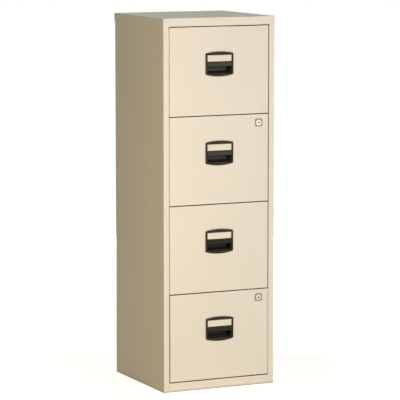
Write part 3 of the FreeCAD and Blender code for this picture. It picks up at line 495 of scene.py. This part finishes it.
def rounded_copy(node, radius, folds_only):
    """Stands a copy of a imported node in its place, with its facets joined and its folds or edges rounded."""
    source = frame["nodes"][node]
    shape = bmesh.new()
    shape.from_mesh(source.data)
    bmesh.ops.remove_doubles(shape, verts=shape.verts, dist=MERGE_DISTANCE * MM)
    flat = math.radians(FLAT_FACE_DEGREES)
    bmesh.ops.dissolve_limit(shape, angle_limit=flat, verts=shape.verts, edges=shape.edges)
    bmesh.ops.connect_verts_concave(shape, faces=shape.faces)
    weights = shape.edges.layers.float.new("bevel_weight_edge")
    for edge in shape.edges:
        edge[weights] = 1.0 if is_rounded(edge, folds_only) else 0.0
        edge.smooth = edge[weights] > 0 or edge.calc_face_angle(0) < math.radians(SHARP_EDGE_DEGREES)
    for face in shape.faces:
        face.smooth = True
    mesh = bpy.data.meshes.new(f"{node}_shape")
    shape.to_mesh(mesh)
    shape.free()
    piece = new_object(f"{node}_rounded", mesh)
    bevel = piece.modifiers.new("rounded_edges", "BEVEL")
    bevel.limit_method = "WEIGHT"
    bevel.width = radius * MM
    bevel.segments = ROUNDING_STEPS
    level = piece.modifiers.new("level_faces", "WEIGHTED_NORMAL")
    level.keep_sharp = True
    dress(piece, finish_of(node))
    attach(piece, source["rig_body"])
    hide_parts(node)
    return piece


def middle_of(points):
    """The middle of the box round some points."""
    axes = list(zip(*points))
    return Vector([(min(values) + max(values)) / 2 for values in axes])


def mark_keyhole(plug):
    """Marks the walls and the floor of the keyhole in a lock plug, which the plating paints dark as shade."""
    middle = middle_of([vertex.co for vertex in plug.data.vertices])
    mark = plug.data.attributes.new(KEYHOLE_MARK, "FLOAT", "FACE")
    for face, share in zip(plug.data.polygons, mark.data):
        across = abs(face.center.x - middle.x)
        up = abs(face.center.z - middle.z)
        depth = face.center.y - PLUG_FACE_PLACE * MM
        near = across < KEYHOLE_HALF_WIDTH * MM and up < KEYHOLE_HALF_HEIGHT * MM
        share.value = 1.0 if near and MERGE_DISTANCE * MM < depth < KEYHOLE_DEPTH * MM else 0.0


def mark_grip_and_recess(handle):
    """Marks the grip and the finger recess of a handle, where light and shade are painted, but not its flat
    face, and notes how far above the middle of the handle each point is."""
    middle = middle_of([vertex.co for vertex in handle.data.vertices])
    mark = handle.data.attributes.new(GRIP_RECESS_MARK, "FLOAT", "FACE")
    for face, share in zip(handle.data.polygons, mark.data):
        across = abs(face.center.x - middle.x)
        up = face.center.z - middle.z
        off_the_face = abs(face.center.y - HANDLE_FACE_PLACE * MM)
        near = across < MOUTH_HALF_WIDTH * MM and MOUTH_BOTTOM * MM < up < GRIP_TOP * MM
        share.value = 1.0 if near and off_the_face > MERGE_DISTANCE * MM else 0.0
    rises = handle.data.attributes.new(RISE_MARK, "FLOAT", "POINT")
    for vertex, rise in zip(handle.data.vertices, rises.data):
        rise.value = (vertex.co.z - middle.z) / MM


def build_finishes():
    """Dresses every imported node, and rounds the ones whose folds or edges catch the light."""
    folds = {
        "top_panel": CAP_FOLD_RADIUS,
        "left_side_panel": SHEET_FOLD_RADIUS,
        "right_side_panel": SHEET_FOLD_RADIUS,
        "front_bottom_rail": SHEET_FOLD_RADIUS,
    }
    edges = {"runner_rivets": RIVET_EDGE_RADIUS}
    for drawer in DRAWERS:
        folds[f"drawer_{drawer}_front"] = SHEET_FOLD_RADIUS
        folds[f"drawer_{drawer}_tray"] = SHEET_FOLD_RADIUS
        edges[f"drawer_{drawer}_handle"] = MOULDING_EDGE_RADIUS
    for lock in LOCKED_DRAWERS:
        edges[f"lock_{lock}_housing"] = BEZEL_EDGE_RADIUS
        edges[f"lock_{lock}_plug"] = PLUG_EDGE_RADIUS
    for node, obj in frame["nodes"].items():
        if node in folds:
            rounded_copy(node, folds[node], folds_only=True)
        elif node in edges:
            piece = rounded_copy(node, edges[node], folds_only=False)
            if node.endswith("_handle"):
                mark_grip_and_recess(piece)
            elif node.endswith("_plug"):
                mark_keyhole(piece)
        else:
            dress(obj, finish_of(node))


def rows_tree():
    """Geometry Nodes that set a straight row of copies of one piece on each point of a mesh."""
    tree = bpy.data.node_groups.new("rows_of_a_piece", "GeometryNodeTree")
    sockets = {
        "Starts": "NodeSocketGeometry",
        "Piece": "NodeSocketObject",
        "Count": "NodeSocketInt",
        "Step": "NodeSocketVector",
        "Finish": "NodeSocketMaterial",
    }
    for name, kind in sockets.items():
        tree.interface.new_socket(name, in_out="INPUT", socket_type=kind)
    tree.interface.new_socket("Rows", in_out="OUTPUT", socket_type="NodeSocketGeometry")
    given = add_node(tree, "NodeGroupInput").outputs
    spacing = {"Count": given["Count"], "Offset": given["Step"]}
    line = add_node(tree, "GeometryNodeMeshLine", spacing, {"mode": "OFFSET"})
    piece = add_node(tree, "GeometryNodeObjectInfo", {"Object": given["Piece"]})
    row = add_node(
        tree,
        "GeometryNodeInstanceOnPoints",
        {"Points": line.outputs["Mesh"], "Instance": piece.outputs["Geometry"]},
    )
    rows = add_node(
        tree,
        "GeometryNodeInstanceOnPoints",
        {"Points": given["Starts"], "Instance": row.outputs["Instances"]},
    )
    real = add_node(tree, "GeometryNodeRealizeInstances", {"Geometry": rows.outputs["Instances"]})
    dressed = add_node(
        tree,
        "GeometryNodeSetMaterial",
        {"Geometry": real.outputs["Geometry"], "Material": given["Finish"]},
    )
    add_node(tree, "NodeGroupOutput", {"Rows": dressed.outputs["Geometry"]})
    return tree


def set_rows(name, tree, starts, piece, count, step, slot, body):
    """Rows of a piece that begin at some places, as one plain mesh that rides on a body."""
    points = bpy.data.meshes.new(f"{name}_starts")
    points.from_pydata(starts, [], [])
    rows = new_object(name, points)
    maker = rows.modifiers.new("rows", "NODES")
    maker.node_group = tree
    given = {"Piece": piece, "Count": count, "Step": step, "Finish": FINISHES[slot]}
    for socket in tree.interface.items_tree:
        if socket.name in given:
            maker[socket.identifier] = given[socket.name]
    graph = bpy.context.evaluated_depsgraph_get()
    shape = bpy.data.meshes.new_from_object(rows.evaluated_get(graph))
    rows.modifiers.remove(maker)
    rows.data = shape
    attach(rows, body)


def runner_ball():
    """One ball of a runner, as the pattern that the rows repeat."""
    shape = bmesh.new()
    bmesh.ops.create_uvsphere(shape, u_segments=16, v_segments=10, radius=BALL_RADIUS * MM)
    for face in shape.faces:
        face.smooth = True
    mesh = bpy.data.meshes.new("runner_ball_shape")
    shape.to_mesh(mesh)
    shape.free()
    return bpy.data.objects.new("runner_ball", mesh)


def weld_mark():
    """One spot weld under paint: a dent with a low ridge round it, on the rear face of a sheet."""
    steps = [math.tau * number / WELD_STEPS for number in range(WELD_STEPS)]
    points = [(0.0, WELD_DENT_HEIGHT * MM, 0.0)]
    faces = []
    rings = WELD_PROFILE + ((WELD_PROFILE[-1][0], -WELD_SUNK),)
    for radius, height in rings:
        across = radius * MM
        points += [(across * math.cos(turn), height * MM, across * math.sin(turn)) for turn in steps]
    for number in range(WELD_STEPS):
        after = (number + 1) % WELD_STEPS
        faces.append((0, 1 + after, 1 + number))
        for ring in range(len(rings) - 1):
            inner = 1 + ring * WELD_STEPS
            outer = inner + WELD_STEPS
            faces.append((inner + number, inner + after, outer + after, outer + number))
    faces.append(tuple(range(1 + (len(rings) - 1) * WELD_STEPS, 1 + len(rings) * WELD_STEPS)))
    mesh = bpy.data.meshes.new("weld_mark_shape")
    mesh.from_pydata(points, [], faces)
    # The part that lies in the sheet stays flat
    for face in mesh.polygons:
        face.use_smooth = face.center.y > 0
    return bpy.data.objects.new("weld_mark", mesh)


def build_runner_balls(tree):
    """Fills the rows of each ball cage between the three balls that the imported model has."""
    ball = runner_ball()
    for drawer in DRAWERS:
        for level in ("outer", "inner"):
            node = f"drawer_{drawer}_{level}_ball_cages"
            low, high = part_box(node)
            first = low[1] + BALL_END * MM
            between = (high[1] - low[1]) / 2 - BALL_END * MM
            step = between / (BALLS_BETWEEN + 1)
            starts = [
                (side * BALL_ROW_ACROSS * MM, first + half * between + step, up)
                for side in (-1, 1)
                for half in (0, 1)
                for up in (low[2] + BALL_RADIUS * MM, high[2] - BALL_RADIUS * MM)
            ]
            body = f"drawer_{drawer}_{level}_cages"
            set_rows(f"{node}_rows", tree, starts, ball, BALLS_BETWEEN, (0, step, 0), "bearing_steel", body)


def build_weld_marks(tree):
    """Spot welds up the rear flanges of the side panels."""
    low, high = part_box("right_side_panel")
    across = high[0] - WELD_INSET * MM
    starts = [(side * across, high[1], WELD_LOWEST * MM) for side in (-1, 1)]
    step = (0, 0, WELD_PITCH * MM)
    set_rows("rear_weld_marks", tree, starts, weld_mark(), WELD_COUNT, step, "cream_paint", "carcass")


def half_round_ribs(middle):
    """The points and faces of the ribs in the finger recess of a handle with this middle. A rib is two half
    rings, left and right, and what lies between them."""
    turns = [math.pi * number / RIB_STEPS for number in range(RIB_STEPS + 1)]
    points = []
    faces = []
    for rise in RIB_RISES:
        for side in (-1, 1):
            points += [
                (
                    middle.x + side * RIB_HALF_LENGTH * MM,
                    (RECESS_WALL_PLACE - RIB_DEPTH * math.sin(turn)) * MM,
                    middle.z + (rise - RIB_HALF_HEIGHT * math.cos(turn)) * MM,
                )
                for turn in turns
            ]
        left = len(points) - 2 * len(turns)
        right = left + len(turns)
        for number in range(RIB_STEPS):
            faces.append((left + number, right + number, right + number + 1, left + number + 1))
        faces.append(tuple(range(left, right)))
        faces.append(tuple(range(right + len(turns) - 1, right - 1, -1)))
        faces.append((left + RIB_STEPS, right + RIB_STEPS, right, left))
    return points, faces


def build_recess_ribs():
    """Two half-round ribs along the back wall of each finger recess."""
    for drawer in DRAWERS:
        low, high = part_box(f"drawer_{drawer}_handle")
        points, faces = half_round_ribs((Vector(low) + Vector(high)) / 2)
        mesh = bpy.data.meshes.new(f"drawer_{drawer}_recess_ribs_shape")
        mesh.from_pydata(points, [], faces)
        # The end caps have more corners and stay flat
        for face in mesh.polygons:
            face.use_smooth = len(face.vertices) == 4
        # The ribs take the painted light and shade of the recess
        mark = mesh.attributes.new(GRIP_RECESS_MARK, "FLOAT", "FACE")
        for share in mark.data:
            share.value = 1.0
        ribs = new_object(f"drawer_{drawer}_recess_ribs", mesh)
        dress(ribs, "black_plastic")
        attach(ribs, f"drawer_{drawer}")


def seen_or_mirrored(tree):
    """1 for what the camera sees, also in and through a surface, and 0 for what lights the object."""
    path = add_node(tree, "ShaderNodeLightPath").outputs
    direct = combined(tree, "MAXIMUM", path["Is Camera Ray"], path["Is Glossy Ray"])
    return combined(tree, "MAXIMUM", direct, path["Is Transmission Ray"])


def build_world():
    """An even pale room. What the camera and the glossy surfaces see of it is plain white."""
    world = bpy.data.worlds.new("pale_room")
    bpy.context.scene.world = world
    world.use_nodes = True
    tree = world.node_tree
    tree.nodes.clear()
    seen = seen_or_mirrored(tree)
    glow = add_node(
        tree,
        "ShaderNodeBackground",
        {
            "Color": blended(tree, seen, AMBIENT_COLOUR, PLAIN_WHITE),
            "Strength": remapped(tree, seen, WHOLE_RANGE, (AMBIENT_LEVEL, 1.0)),
        },
    )
    add_node(tree, "ShaderNodeOutputWorld", {"Surface": glow.outputs["Background"]})


def build_floor():
    """A matt white floor, lifted to white where it is seen, so that only the object's shadow shows on it."""
    material, tree, place = new_material("matt_white_floor")
    uneven = noise(tree, place, width=400, detail=2.0)
    tone = blended(tree, uneven, "F4F4F3", "F2F2F1")
    matt = add_node(tree, "ShaderNodeBsdfDiffuse", {"Color": tone})
    from_middle = add_node(tree, "ShaderNodeVectorMath", {0: place}, {"operation": "LENGTH"}).outputs["Value"]
    lift = remapped(tree, from_middle, (FLOOR_NEAR, FLOOR_FAR), (FLOOR_LIFT_NEAR, FLOOR_LIFT_FAR))
    strength = combined(tree, "MULTIPLY", lift, seen_or_mirrored(tree))
    glow = add_node(tree, "ShaderNodeEmission", {"Color": linear(PLAIN_WHITE), "Strength": strength})
    both = add_node(tree, "ShaderNodeAddShader", {0: matt.outputs["BSDF"], 1: glow.outputs["Emission"]})
    add_node(tree, "ShaderNodeOutputMaterial", {"Surface": both.outputs["Shader"]})
    half = FLOOR_HALF_WIDTH
    mesh = bpy.data.meshes.new("floor_shape")
    mesh.from_pydata(
        [(-half, -half, 0), (half, -half, 0), (half, half, 0), (-half, half, 0)],
        [],
        [(0, 1, 2, 3)],
    )
    mesh.materials.append(material)
    new_object("floor", mesh)


def soft_light(name, place, target, width, height, power, colour):
    """A rectangular softbox at a place, turned to a target, with its power in watts."""
    lamp = bpy.data.lights.new(name, "AREA")
    lamp.shape = "RECTANGLE"
    lamp.size = width
    lamp.size_y = height
    lamp.energy = power
    lamp.color = linear(colour)[:3]
    holder = new_object(name, lamp)
    holder.location = place
    aim = Vector(target) - Vector(place)
    holder.rotation_mode = "QUATERNION"
    holder.rotation_quaternion = aim.to_track_quat("-Z", "Y")


def build_lights():
    """A key at the height of the drawers lights the front, a warm fill the left side and a cool one the top.
    The last one lights the two faces that the photograph hides."""
    soft_light(
        "key",
        place=(0.8, -4.6, 0.8),
        target=(0.0, -0.2, 0.65),
        width=1.4,
        height=1.4,
        power=122,
        colour="F4F8FF",
    )
    soft_light(
        "side_fill",
        place=(-1.05, -1.05, 0.86),
        target=(-0.2, -0.15, 0.78),
        width=0.8,
        height=1.5,
        power=6.3,
        colour="FFDA92",
    )
    soft_light(
        "overhead",
        place=(-0.9, -0.2, 3.4),
        target=(0.0, 0.0, 1.28),
        width=1.2,
        height=1.2,
        power=11.9,
        colour="E4FFF4",
    )
    soft_light(
        "rear_fill",
        place=(1.9, 3.0, 0.6),
        target=(0.1, 0.1, 0.6),
        width=1.8,
        height=0.9,
        power=60,
        colour="FFF6E8",
    )


def build_camera():
    """The photograph's viewpoint: a long lens, a little above the top and to the left of the front."""
    lens = bpy.data.cameras.new("photo_view")
    lens.sensor_width = SENSOR_WIDTH
    lens.lens = FOCAL_LENGTH
    camera = new_object("photo_view", lens)
    azimuth = math.radians(CAMERA_AZIMUTH)
    elevation = math.radians(CAMERA_ELEVATION)
    ahead = Vector((
        -math.sin(azimuth) * math.cos(elevation),
        math.cos(azimuth) * math.cos(elevation),
        -math.sin(elevation),
    ))
    camera.location = CAMERA_PLACE
    camera.rotation_mode = "QUATERNION"
    camera.rotation_quaternion = ahead.to_track_quat("-Z", "Y")
    bpy.context.scene.camera = camera


build_finishes()
row_nodes = rows_tree()
build_runner_balls(row_nodes)
build_weld_marks(row_nodes)
build_recess_ribs()
build_world()
build_floor()
build_lights()
build_camera()
bpy.context.scene.view_settings.view_transform = "Standard"
